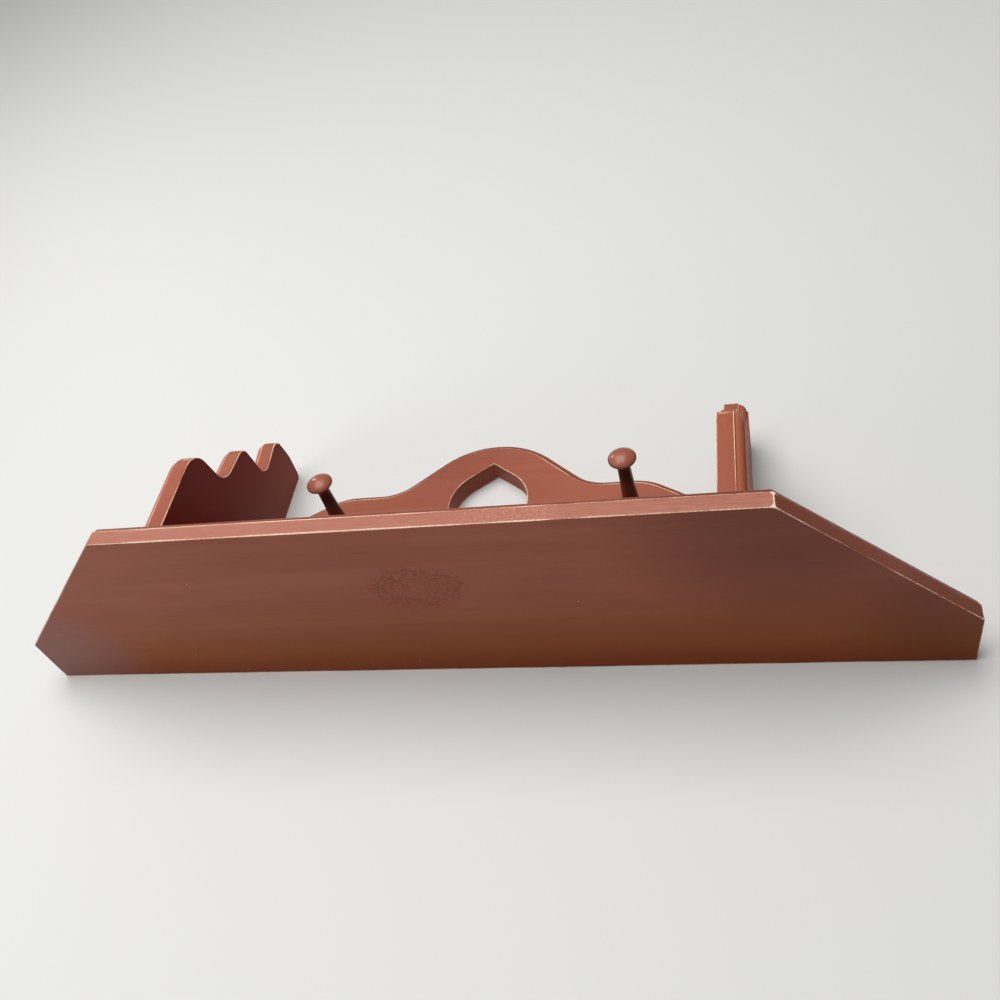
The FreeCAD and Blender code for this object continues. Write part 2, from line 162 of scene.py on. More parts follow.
class Outline:
    """Closed outline of rounded corners, counter-clockwise, that can be moved inwards.

    sides[i] names the kind of edge between corner i and the next one.
    """

    def __init__(self, corners, sides):
        self.points = [Vector(corner[:2]) for corner in corners]
        self.radii = [corner[2] for corner in corners]
        self.sides = sides
        count = len(corners)
        self.ways = [
            (self.points[(index + 1) % count] - self.points[index]).normalized()
            for index in range(count)
        ]
        self.turns = [
            turn_between(self.ways[index - 1], self.ways[index]) for index in range(count)
        ]
        self.arc_steps = [
            max(least_arc_steps, round(radius * abs(turn) / arc_spacing)) if radius else 0
            for radius, turn in zip(self.radii, self.turns)
        ]
        self.side_shares = [self.shares(index) for index in range(count)]

    def shares(self, index):
        """Where a side's points lie along it, closer together beside a sharp corner."""
        count = len(self.points)
        after = (index + 1) % count
        length = (self.points[after] - self.points[index]).length
        length -= self.tangent(index) + self.tangent(after)
        if length < shortest_side:
            return []
        steps = max(1, round(length / spacing))
        shares = {step / steps for step in range(1, steps)}
        for gap in corner_gaps:
            if length > 4 * gap:
                shares |= {gap / length} if self.radii[index] <= sharp_radius else set()
                shares |= {1 - gap / length} if self.radii[after] <= sharp_radius else set()
        return sorted(shares)

    def tangent(self, index):
        """Length that a corner's rounding takes off each of its sides."""
        return self.radii[index] * math.tan(abs(self.turns[index]) / 2)

    def ring(self, insets):
        """Points of the outline moved in, by a distance for each kind of side."""
        count = len(self.points)
        moved = []
        for index in range(count):
            before = insets[self.sides[index - 1]]
            after = insets[self.sides[index]]
            corner = moved_corner(self.points[index], self.ways[index - 1],
                                  self.ways[index], before, after)
            grow = -before if self.turns[index] > 0 else before
            radius = self.radii[index]
            moved.append((corner, max(radius + grow, least_radius) if radius else 0.0))
        arcs = [self.arc(index, *moved[index]) for index in range(count)]
        ring = []
        for index in range(count):
            ring += arcs[index]
            start = arcs[index][-1]
            end = arcs[(index + 1) % count][0]
            ring += [start.lerp(end, share) for share in self.side_shares[index]]
        return ring

    def arc(self, index, corner, radius):
        """Points of one corner's rounding, or the corner alone where it is sharp."""
        steps = self.arc_steps[index]
        if not steps:
            return [corner]
        turn = self.turns[index]
        before = self.ways[index - 1]
        start = corner - before * (radius * math.tan(abs(turn) / 2))
        sign = 1 if turn > 0 else -1
        middle = start + Vector((-before.y, before.x)) * (radius * sign)
        return arc_round(middle, start - middle, turn, steps)

    def kinds(self):
        """Kinds of side that meet at each point of a ring."""
        count = len(self.points)
        kinds = []
        for index in range(count):
            here = {self.sides[index - 1], self.sides[index]}
            kinds += [here] * (self.arc_steps[index] + 1)
            kinds += [{self.sides[index]}] * len(self.side_shares[index])
        return kinds

    def corner_distances(self):
        """Distance of each point of a ring to the nearest sharp convex corner."""
        sharp = [
            point for point, radius, turn in zip(self.points, self.radii, self.turns)
            if radius <= sharp_radius and turn > convex_turn
        ]
        plain = self.ring({kind: 0.0 for kind in set(self.sides)})
        return [min([far] + [(point - corner).length for corner in sharp]) for point in plain]


# ------------------------------ edge sections

def eased_section(thickness, ease):
    """Plain edge as (inset, rise): first face, its arris, the other arris and face."""
    low = arc_round(Vector((ease, ease)), Vector((0, -ease)), -quarter_turn, ease_steps)
    high = [Vector((point.x, thickness - point.y)) for point in reversed(low)]
    inwards = [Vector((reach, 0)) for reach in reversed(face_steps)]
    outwards = [Vector((reach, thickness)) for reach in face_steps]
    return inwards, low, high, outwards


def routed_section(thickness):
    """Edge of a routed board, from its plain face to the routed one."""
    inwards, low, _, _ = eased_section(thickness, sanded)
    shoulder = thickness - rout_width
    band = [Vector((0, shoulder * share)) for share in band_shares]
    lip = arc_round(Vector((crisp, shoulder - crisp)), Vector((-crisp, 0)), -quarter_turn,
                    shoulder_steps)
    start = math.asin(0.5 * crisp / cutter_radius)
    spoke = Vector((-math.cos(start), math.sin(start))) * cutter_radius
    round_edge = arc_round(Vector((rout_width, shoulder)), spoke, 2 * start - quarter_turn,
                           round_steps)
    rim = arc_round(Vector((rout_width + crisp, thickness - crisp)), Vector((-crisp, 0)),
                    -quarter_turn, shoulder_steps)
    outwards = [Vector((rout_width + reach, thickness)) for reach in face_steps]
    return inwards, low, band, lip, round_edge, rim, outwards


def stations(section):
    """Length along a section at each of its points."""
    lengths = [0.0]
    for before, after in zip(section, section[1:]):
        lengths.append(lengths[-1] + (after - before).length)
    return lengths


def nearest(length, marks):
    """Distance along a section to the nearest of some marks, or far."""
    return min([far] + [abs(length - mark) for mark in marks])


def edge_steps(thickness, rim_spared):
    """Rings of a routed board's edge: insets by kind of side, rise, closeness to the
    arrises and hollows, and rout, 1 on the quarter round and -1 on the plain band. The
    last arris, round the routed face, is spared: it counts as this much further off."""
    inwards, low, band, lip, round_edge, rim, outwards = routed_section(thickness)
    section = inwards + low + band + lip + round_edge + rim + outwards
    lengths = stations(section)
    first_arris = lengths[len(inwards) + len(low) // 2]  # about the middle of each rounding
    lip_start = len(inwards) + len(low) + len(band)
    lip_arris = lengths[lip_start + 1]
    lip_hollow = lengths[lip_start + len(lip)]
    rim_start = lip_start + len(lip) + len(round_edge)
    rim_hollow = lengths[rim_start - 1]
    rim_arris = lengths[rim_start + 2]
    square_arris = (first_arris, lengths[rim_start] + crisp)
    rings = []
    for index, (length, point) in enumerate(zip(lengths, section)):
        rise = point.y
        on_face = index >= rim_start + len(rim)
        past_lip = index >= lip_start
        square = point.x if not past_lip else 0.0
        if rise > thickness - crisp:
            fall = rise - (thickness - crisp)
            square = crisp - math.sqrt(max(crisp ** 2 - fall ** 2, 0.0))
        if on_face:
            square = point.x - rout_width
        joint = square * joint_ease / sanded if 0 < rise < thickness else square
        arris = min(nearest(length, (first_arris, lip_arris)),
                    nearest(length, (rim_arris,)) + rim_spared)
        hollow = nearest(length, (lip_hollow, rim_hollow))
        on_band = len(inwards) + 1 < index < lip_start + 2
        on_round = lip_start + len(lip) <= index < rim_start
        rout = -1.0 if on_band else 1.0 if on_round else 0.0
        rings.append({
            "insets": {"routed": point.x, "square": square, "joint": joint},
            "rise": rise,
            "arris": {"routed": arris, "square": nearest(length, square_arris), "joint": far},
            "hollow": {"routed": hollow, "square": far, "joint": far},
            "rout": {"routed": rout, "square": 0.0, "joint": 0.0},
            "edge": 0 < rise < thickness,
        })
    return rings


# ------------------------------ meshes

class Builder:
    """Collects the points and faces of one piece, with its wear distances in mm."""

    def __init__(self, place):
        self.place = place
        self.flat = []
        self.points = []
        self.arris = []
        self.hollow = []
        self.rout = []
        self.faces = []
        self.caps = set()

    def ring(self, outline, rise, arris, hollow, rout=None):
        """Adds an outline's points at a rise; gives their indices."""
        start = len(self.points)
        for index, point in enumerate(outline):
            self.flat.append(point)
            self.points.append(self.place(point.x, point.y, rise))
            self.arris.append(arris[index])
            self.hollow.append(hollow[index])
            self.rout.append(rout[index] if rout else 0.0)
        return list(range(start, start + len(outline)))

    def bridge(self, before, after):
        """Faces between two rings of the same number of points."""
        count = len(before)
        for index in range(count):
            beside = (index + 1) % count
            self.faces.append((before[index], before[beside], after[beside], after[index]))

    def cap(self, outer, holes=()):
        """Flat face inside a ring, with holes left open."""
        rings = [outer] + list(holes)
        used = [vertex for ring in rings for vertex in ring]
        flat = [self.flat[vertex] for vertex in used]
        edges = []
        start = 0
        for ring in rings:
            count = len(ring)
            edges += [(start + index, start + (index + 1) % count) for index in range(count)]
            start += count
        _, _, triangles, origins, _, _ = delaunay_2d_cdt(flat, edges, [], 0, 1e-6)
        borders = [[self.flat[vertex] for vertex in ring] for ring in rings]
        for triangle in triangles:
            corners = [used[origins[vertex][0]] for vertex in triangle]
            middle = sum((self.flat[corner] for corner in corners), Vector((0, 0))) / 3
            if inside(middle, borders[0]) and not any(inside(middle, b) for b in borders[1:]):
                self.caps.add(len(self.faces))
                self.faces.append(tuple(corners))

    def finish(self, name, dents=()):
        """Mesh object with even normals, small sanding marks and the wear attributes."""
        mesh = bpy.data.meshes.new(name)
        mesh.from_pydata(self.points, [], self.faces)
        mesh.validate()
        piece = add_object(name, mesh)
        even_normals(mesh)
        attributes = (("arris", self.arris), ("hollow", self.hollow), ("rout", self.rout))
        for title, values in attributes:
            attribute = mesh.attributes.new(title, "FLOAT", "POINT")
            attribute.data.foreach_set("value", values)
        soften(mesh, self.arris, dents)
        smooth = [index not in self.caps for index in range(len(mesh.polygons))]
        mesh.polygons.foreach_set("use_smooth", smooth)
        return piece


def inside(point, border):
    """Whether a point lies inside a closed polygon."""
    within = False
    before = border[-1]
    for corner in border:
        if (corner.y > point.y) != (before.y > point.y):
            crossing = (before.x - corner.x) * (point.y - corner.y) / (before.y - corner.y)
            if point.x < corner.x + crossing:
                within = not within
        before = corner
    return within


def add_object(name, data):
    """New object in the scene."""
    made = bpy.data.objects.new(name, data)
    bpy.context.scene.collection.objects.link(made)
    return made


def even_normals(mesh):
    """Turns all faces of a mesh outwards."""
    work = bmesh.new()
    work.from_mesh(mesh)
    bmesh.ops.recalc_face_normals(work, faces=work.faces)
    work.to_mesh(mesh)
    work.free()


def soften(mesh, arris, dents):
    """Hand sanding: arrises give way unevenly, and each dent (place, radius, depth) sinks."""
    normals = [vertex.normal.copy() for vertex in mesh.vertices]
    for index, vertex in enumerate(mesh.vertices):
        sink = 0.0
        closeness = max(0.0, 1 - arris[index] / sanding_reach)
        if closeness:
            rough = noise.noise(vertex.co * coarse_marks)
            rough += fine_share * noise.noise(vertex.co * fine_marks)
            sink += closeness * max(0.0, rough) * sanding_depth
        for place, radius, depth in dents:
            share = 1 - (vertex.co / MM - Vector(place)).length / radius
            if share > 0:
                sink += depth * share * share
        vertex.co -= normals[index] * (sink * MM)


def dress(piece, material, slot, *cad_nodes):
    """Gives a piece its material and its body, in place of the plain solids. The slot is not used.
    """
    piece.data.materials.clear()
    piece.data.materials.append(material)
    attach(piece, "root")
    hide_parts(*cad_nodes)


# ------------------------------ boards

def routed_rings(builder, outline, thickness, rim_spared=0.0):
    """Rings over a routed edge; gives the first and the last one, for the two faces."""
    kinds = outline.kinds()
    to_corner = outline.corner_distances()
    first = last = None
    for step in edge_steps(thickness, rim_spared):
        arris = []
        hollow = []
        rout = []
        for index, here in enumerate(kinds):
            closest = min(step["arris"][kind] for kind in here)
            if step["edge"] and "joint" not in here:
                closest = min(closest, to_corner[index])
            arris.append(closest)
            hollow.append(min(step["hollow"][kind] for kind in here))
            rout.append(sum(step["rout"][kind] for kind in here))
        ring = builder.ring(outline.ring(step["insets"]), step["rise"], arris, hollow, rout)
        if last is not None:
            builder.bridge(last, ring)
        first = first or ring
        last = ring
    return first, last


def make_shelf():
    """Shelf board: plan outline as (across, depth), plain face up."""
    half = (
        (shelf_end, 0.0, 0.0),
        (shelf_end, shelf_end_depth, shelf_corner_radius),
        (shelf_front_half, shelf_depth, shelf_corner_radius),
    )
    other = [(-across, depth, radius) for across, depth, radius in reversed(half)]
    outline = Outline([*half, *other], ["routed"] * 5 + ["square"])

    def place(across, depth, rise):
        return Vector((across, -depth, shelf_top - rise)) * MM

    builder = Builder(place)
    top, underside = routed_rings(builder, outline, shelf_thickness)
    builder.cap(top)
    builder.cap(underside)
    return builder.finish("shelf_board_painted", shelf_dents)


def make_bracket(side, name):
    """Bracket: side view outline, plain inner face."""
    extra, nose_extra = (left_bracket_extra, left_nose_extra) if side < 0 else (0.0, 0.0)
    nose_depth, nose_drop, nose_radius = bracket_steps[0]
    corners = [(0.0, shelf_thickness, 0.0), (nose_depth, shelf_thickness, 0.0)]
    corners.append((nose_depth, nose_drop + extra + nose_extra, nose_radius))
    corners += [(depth, drop + extra, radius) for depth, drop, radius in bracket_steps[1:]]
    corners.append((0.0, bracket_heel_drop + extra, bracket_heel_radius))
    outline = Outline(corners, ["joint"] + ["routed"] * (len(corners) - 2) + ["square"])

    def place(depth, drop, rise):
        return Vector((side * (bracket_inner + rise), -depth, shelf_top - drop)) * MM

    builder = Builder(place)
    inner, outer = routed_rings(builder, outline, board_thickness, bracket_rim_spared)
    builder.cap(inner)
    builder.cap(outer)
    return builder.finish(name)


def lower_edge():
    """Half of the backboard's lower edge, from the middle outwards."""
    hump_angle = math.radians(hump_slope)
    hump_x = hump_flat / 2 + hump_radius * math.tan(hump_angle / 2)
    saddle_drop = hump_drop - saddle_rise
    shoulder_drop = saddle_drop - shoulder_rise
    saddle_inner_x = hump_x + saddle_rise / math.tan(hump_angle)
    saddle_outer_x = saddle_inner_x + saddle_width
    shoulder_x = saddle_outer_x + shoulder_rise / math.tan(math.radians(shoulder_slope))
    return [
        (hump_x, hump_drop, hump_radius),
        (saddle_inner_x, saddle_drop, saddle_inner_radius),
        (saddle_outer_x, saddle_drop, saddle_outer_radius),
        (shoulder_x, shoulder_drop, shoulder_radius),
        (bracket_inner, shoulder_drop, 0.0),
        (bracket_inner, shelf_thickness, 0.0),
    ]


def heart_ring(grow):
    """Points of the heart opening grown by a distance, from its tip round both lobes."""
    lobe_x = lobe_radius - lobe_overlap / 2
    half_width = lobe_x + lobe_radius
    slope = math.radians(heart_side_slope)
    corner_drop = lobe_drop + heart_upright + grow * math.tan(math.pi / 4 - slope / 2)
    tip = Vector((0, lobe_drop + heart_upright + half_width * math.tan(slope)))
    tip.y += grow / math.cos(slope)
    corner = Vector((half_width + grow, corner_drop))
    radius = heart_bend_radius + grow
    reach = radius * math.tan((quarter_turn - slope) / 2)
    bend_middle = Vector((corner.x - radius, corner.y - reach))
    side_end = corner - (corner - tip).normalized() * reach
    half = [tip.lerp(side_end, step / heart_side_steps) for step in range(heart_side_steps)]
    spoke = Vector((math.sin(slope), math.cos(slope))) * radius
    half += arc_round(bend_middle, spoke, slope - quarter_turn, heart_bend_steps)
    half.append(Vector((half_width + grow, (half[-1].y + lobe_drop) / 2)))
    lobe = lobe_radius + grow
    sweep = math.pi - math.acos(lobe_x / lobe)
    half += arc_round(Vector((lobe_x, lobe_drop)), Vector((lobe, 0)), -sweep, heart_lobe_steps)
    other = [Vector((-point.x, point.y)) for point in reversed(half[1:-1])]
    return half + other


def heart_edge(builder):
    """Walls of the heart opening; gives its rings on the back and the front face."""
    inwards, low, high, outwards = eased_section(backboard_thickness, heart_ease)
    walls = [Vector((0, backboard_thickness * share)) for share in wall_shares]
    section = inwards + low + walls + high + outwards
    lengths = stations(section)
    back_arris = len(inwards) + ease_steps // 2
    front_arris = back_arris + len(low) + len(walls)
    arrises = (lengths[back_arris], lengths[front_arris])
    rings = []
    for length, point in zip(lengths, section):
        ring = heart_ring(point.x)
        close = nearest(length, arrises)
        rings.append(builder.ring(ring, point.y, [close] * len(ring), [far] * len(ring)))
        if len(rings) > 1:
            builder.bridge(rings[-2], rings[-1])
    return rings[0], rings[-1]


def pill(middle_x, low_drop, high_drop, half_width, radius):
    """Rounded rectangle outline between two drops."""
    outline = []
    flat = half_width - radius
    high, low = high_drop - radius, low_drop + radius
    ends = ((flat, high, (1, 0)), (-flat, high, (0, 1)), (-flat, low, (-1, 0)), (flat, low, (0, -1)))
    for x, drop, way in ends:
        middle = Vector((middle_x + x, drop))
        outline += arc_round(middle, Vector(way) * radius, quarter_turn, pill_steps)
    return outline


def hanger_recess(builder, side):
    """Recess for a hanger plate and the cavity behind its keyhole; gives its mouth."""
    middle = side * (plate_low.x + plate_high.x) / 2
    half_width = (plate_high.x - plate_low.x) / 2 + plate_recess_gap
    low = shelf_top - plate_high.z - plate_recess_gap
    high = shelf_top - plate_low.z + plate_recess_gap
    mouth = pill(middle, low, high, half_width, plate_recess_radius)
    cavity = pill(middle, shelf_top - head_room_radius,
                  shelf_top + keyhole_rise + head_room_radius,
                  head_room_radius + hair, head_room_radius)
    plain = [far] * len(mouth)
    rings = [
        builder.ring(mouth, 0.0, plain, plain),
        builder.ring(mouth, plate_recess_depth, plain, plain),
        builder.ring(cavity, plate_recess_depth, plain, plain),
        builder.ring(cavity, head_room_depth, plain, plain),
    ]
    builder.bridge(rings[0], rings[1])
    builder.cap(rings[1], [rings[2]])
    builder.bridge(rings[2], rings[3])
    builder.cap(rings[3])
    return rings[0]


def make_backboard():
    """Backboard: front view outline; its back face lies on the wall."""
    half = lower_edge()
    corners = [(-x, drop, radius) for x, drop, radius in half]
    corners = [(x, drop, radius) for x, drop, radius in reversed(half)] + corners
    edge = len(half) - 2
    sides = ["joint"] + ["routed"] * (2 * edge + 1) + ["joint", "joint"]
    outline = Outline(corners, sides)

    def place(across, drop, rise):
        return Vector((across, -rise, shelf_top - drop)) * MM

    builder = Builder(place)
    back, front = routed_rings(builder, outline, backboard_thickness)
    heart_back, heart_front = heart_edge(builder)
    builder.cap(front, [heart_front])
    builder.cap(back, [heart_back] + [hanger_recess(builder, side) for side in (-1, 1)])
    return builder.finish("backboard_painted")


# ------------------------------ pegs

peg_base_radius, peg_waist_radius, peg_neck_radius = 8.2, 5.9, 5.1
peg_head_height, peg_head_lip, peg_dome_height = 13.5, 1.2, 4.6
peg_flare_bulge = 0.36
peg_rim_ease = 0.2
peg_rim_spared = 0.4  # the head's rim counts as this much further off
peg_lip_shade_and_paint = 1.6  # paint gathers, with a painted shade line, this far behind the rim
peg_dome_fade = 0.5  # distance from the lip counts only this share on the dome
peg_sides, peg_shaft_steps, peg_bell_steps, peg_dome_steps = 72, 18, 10, 12


def arc_through(first, second, third, steps):
    """Points of the arc through three points, both ends included."""
    a, b = second - first, third - first
    crossing = 2 * a.cross(b)
    middle = first + Vector((b.y * a.length_squared - a.y * b.length_squared,
                             a.x * b.length_squared - b.x * a.length_squared)) / crossing
    start = first - middle
    return arc_round(middle, start, turn_between(start, third - middle), steps)


def peg_profile(length, head_radius):
    """Half section of a peg as (reach, radius) from foot to crown, and its rim's reach."""
    neck_reach = length - peg_head_height
    rim_back = length - peg_dome_height - peg_head_lip
    rim_front = length - peg_dome_height
    flare = Vector((
        neck_reach + (rim_back - neck_reach) * (1 - peg_flare_bulge),
        peg_neck_radius + (head_radius - peg_neck_radius) * peg_flare_bulge,
    ))
    ball = (head_radius ** 2 + peg_dome_height ** 2) / (2 * peg_dome_height)
    half_angle = math.asin(head_radius / ball) / 2
    crown = Vector((length - ball * (1 - math.cos(half_angle)), ball * math.sin(half_angle)))
    foot = Vector((0, peg_base_radius))
    waist = Vector((neck_reach / 2, peg_waist_radius))
    neck = Vector((neck_reach, peg_neck_radius))
    shaft = arc_through(foot, waist, neck, peg_shaft_steps)
    bell_end = Vector((rim_back, head_radius - peg_rim_ease))
    bell = arc_through(neck, flare, bell_end, peg_bell_steps)
    rim = [Vector((rim_back + peg_rim_ease, head_radius)),
           Vector((rim_front - peg_rim_ease, head_radius))]
    dome_start = Vector((rim_front, head_radius - peg_rim_ease))
    dome = arc_through(dome_start, crown, Vector((length, 0)), peg_dome_steps)
    return shaft + bell[1:] + rim + dome[:-1], rim_front


def make_peg(name):
    """Turned peg on the front of the backboard; gives it with the middle of its neck."""
    low, high = (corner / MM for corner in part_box(name))
    middle = Vector(((low.x + high.x) / 2, 0, (low.z + high.z) / 2))
    length = -low.y - backboard_thickness

    def place(across, up, rise):
        return (middle + Vector((across, -backboard_thickness - rise, up))) * MM

    builder = Builder(place)
    profile, rim = peg_profile(length, (high.x - low.x) / 2)
    rings = []
    for station in profile:
        circle = arc_round(Vector((0, 0)), Vector((station.y, 0)), 2 * math.pi, peg_sides)[:-1]
        close = min(far, abs(station.x - rim) + peg_rim_spared)
        # near the rim the hollow distance gives a painted shade line behind it
        if station.x > rim - peg_lip_shade_and_paint:
            hollow = max(0.0, station.x - rim) * peg_dome_fade
        else:
            hollow = min(far, station.x)
        rings.append(builder.ring(circle, station.x, [close] * peg_sides, [hollow] * peg_sides))
        if len(rings) > 1:
            builder.bridge(rings[-2], rings[-1])
    builder.cap(rings[0])
    tip = builder.ring([Vector((0, 0))], length, [far], [far])[0]
    last = rings[-1]
    for index in range(peg_sides):
        builder.faces.append((last[index], last[(index + 1) % peg_sides], tip))
    neck = middle - Vector((0, backboard_thickness + length - peg_head_height, 0))
    return builder.finish(name + "_painted"), neck


# ------------------------------ colours

paint_red = (0.296, 0.087, 0.054, 1)
paint_brown = (0.248, 0.072, 0.039, 1)
paint_light = (0.390, 0.138, 0.094, 1)
paint_dark = (0.160, 0.036, 0.020, 1)
paint_deep = (0.070, 0.014, 0.008, 1)
# painted shadow under the peg heads
paint_shadow_black = (0.012, 0.003, 0.002, 1)
# painted shade of the brackets' inner faces
paint_inner_shade = (0.172, 0.0095, 0.0055, 1)
# painted sheen
paint_sheen_mauve = (0.195, 0.100, 0.100, 1)
# painted light on a routed rim
paint_lit_rim_warm = (0.400, 0.120, 0.066, 1)
paint_rubbed = (0.372, 0.148, 0.106, 1)
# painted reflection and painted shade towards the wall, the second with grime
paint_reflected_brown = (0.212, 0.048, 0.001, 1)
paint_grime_and_shade = (0.165, 0.018, 0.001, 1)
# painted light on the brackets' routed rims
paint_lit_rim = (0.460, 0.170, 0.115, 1)
paint_shade = (0.130, 0.040, 0.016, 1)
paint_thin = (0.580, 0.270, 0.190, 1)
paint_first = (0.600, 0.290, 0.120, 1)
# scuffed marks with a painted highlight
paint_scuff_highlight = (0.640, 0.330, 0.240, 1)
bare_light = (0.860, 0.660, 0.520, 1)
bare_tan = (0.660, 0.420, 0.270, 1)
bare_gold = (0.860, 0.560, 0.330, 1)
bare_amber = (0.700, 0.380, 0.180, 1)
beech_light = (0.560, 0.360, 0.190, 1)
beech_dark = (0.420, 0.250, 0.120, 1)
plate_tint = (0.620, 0.620, 0.600, 1)
screw_tint = (0.580, 0.550, 0.460, 1)
stage_grey = (0.600, 0.610, 0.605, 1)


# ------------------------------ materials

class Tree:
    """Short way to write a material's nodes."""

    def __init__(self, name):
        self.material = bpy.data.materials.new(name)
        self.material.use_nodes = True
        self.nodes = self.material.node_tree.nodes
        self.links = self.material.node_tree.links
        self.shader = self.nodes["Principled BSDF"]

    def set(self, socket, value):
        """Links a socket to another one, or gives it a constant."""
        if isinstance(value, bpy.types.NodeSocket):
            self.links.new(value, socket)
        else:
            socket.default_value = value

    def node(self, kind, inputs=None, output=0, **settings):
        """New node with its inputs and settings; gives one of its outputs."""
        made = self.nodes.new("ShaderNode" + kind)
        for key, value in settings.items():
            setattr(made, key, value)
        for key, value in (inputs or {}).items():
            self.set(made.inputs[key], value)
        return made.outputs[output]

    def math(self, operation, first, second=0.0, clamp=False):
        return self.node("Math", {0: first, 1: second}, operation=operation, use_clamp=clamp)

    def plus(self, first, second):
        return self.math("ADD", first, second)

    def minus(self, first, second):
        return self.math("SUBTRACT", first, second)

    def times(self, first, second):
        return self.math("MULTIPLY", first, second)

    def vector(self, operation, first, second, output=0):
        return self.node("VectorMath", {0: first, 1: second}, output, operation=operation)

    def ramp(self, value, low, high, from_value=0.0, to_value=1.0):
        """Smooth step of a value between two limits."""
        return self.node("MapRange", {
            "Value": value, "From Min": low, "From Max": high,
            "To Min": from_value, "To Max": to_value,
        }, interpolation_type="SMOOTHSTEP")

    def mix(self, share, first, second):
        """Colour between two others."""
        made = self.nodes.new("ShaderNodeMix")
        made.data_type = "RGBA"
        self.set(made.inputs[0], share)
        self.set(made.inputs[6], first)
        self.set(made.inputs[7], second)
        return made.outputs[2]

    def noise(self, vector, scale, detail=2.0, roughness=0.5):
        return self.node("TexNoise", {
            "Vector": vector, "Scale": scale, "Detail": detail, "Roughness": roughness,
        })

    def coordinates(self):
        """Place in the part's own frame, in metres."""
        return self.node("TexCoord", output="Object")

    def surface(self, colour, roughness, relief=None, strength=0.0, height=0.0):
        """Gives the shader its colour, roughness and relief; gives the material."""
        self.set(self.shader.inputs["Base Color"], colour)
        self.set(self.shader.inputs["Roughness"], roughness)
        if relief is not None:
            bump = {"Height": relief, "Strength": strength, "Distance": height * MM}
            self.set(self.shader.inputs["Normal"], self.node("Bump", bump))
        return self.material


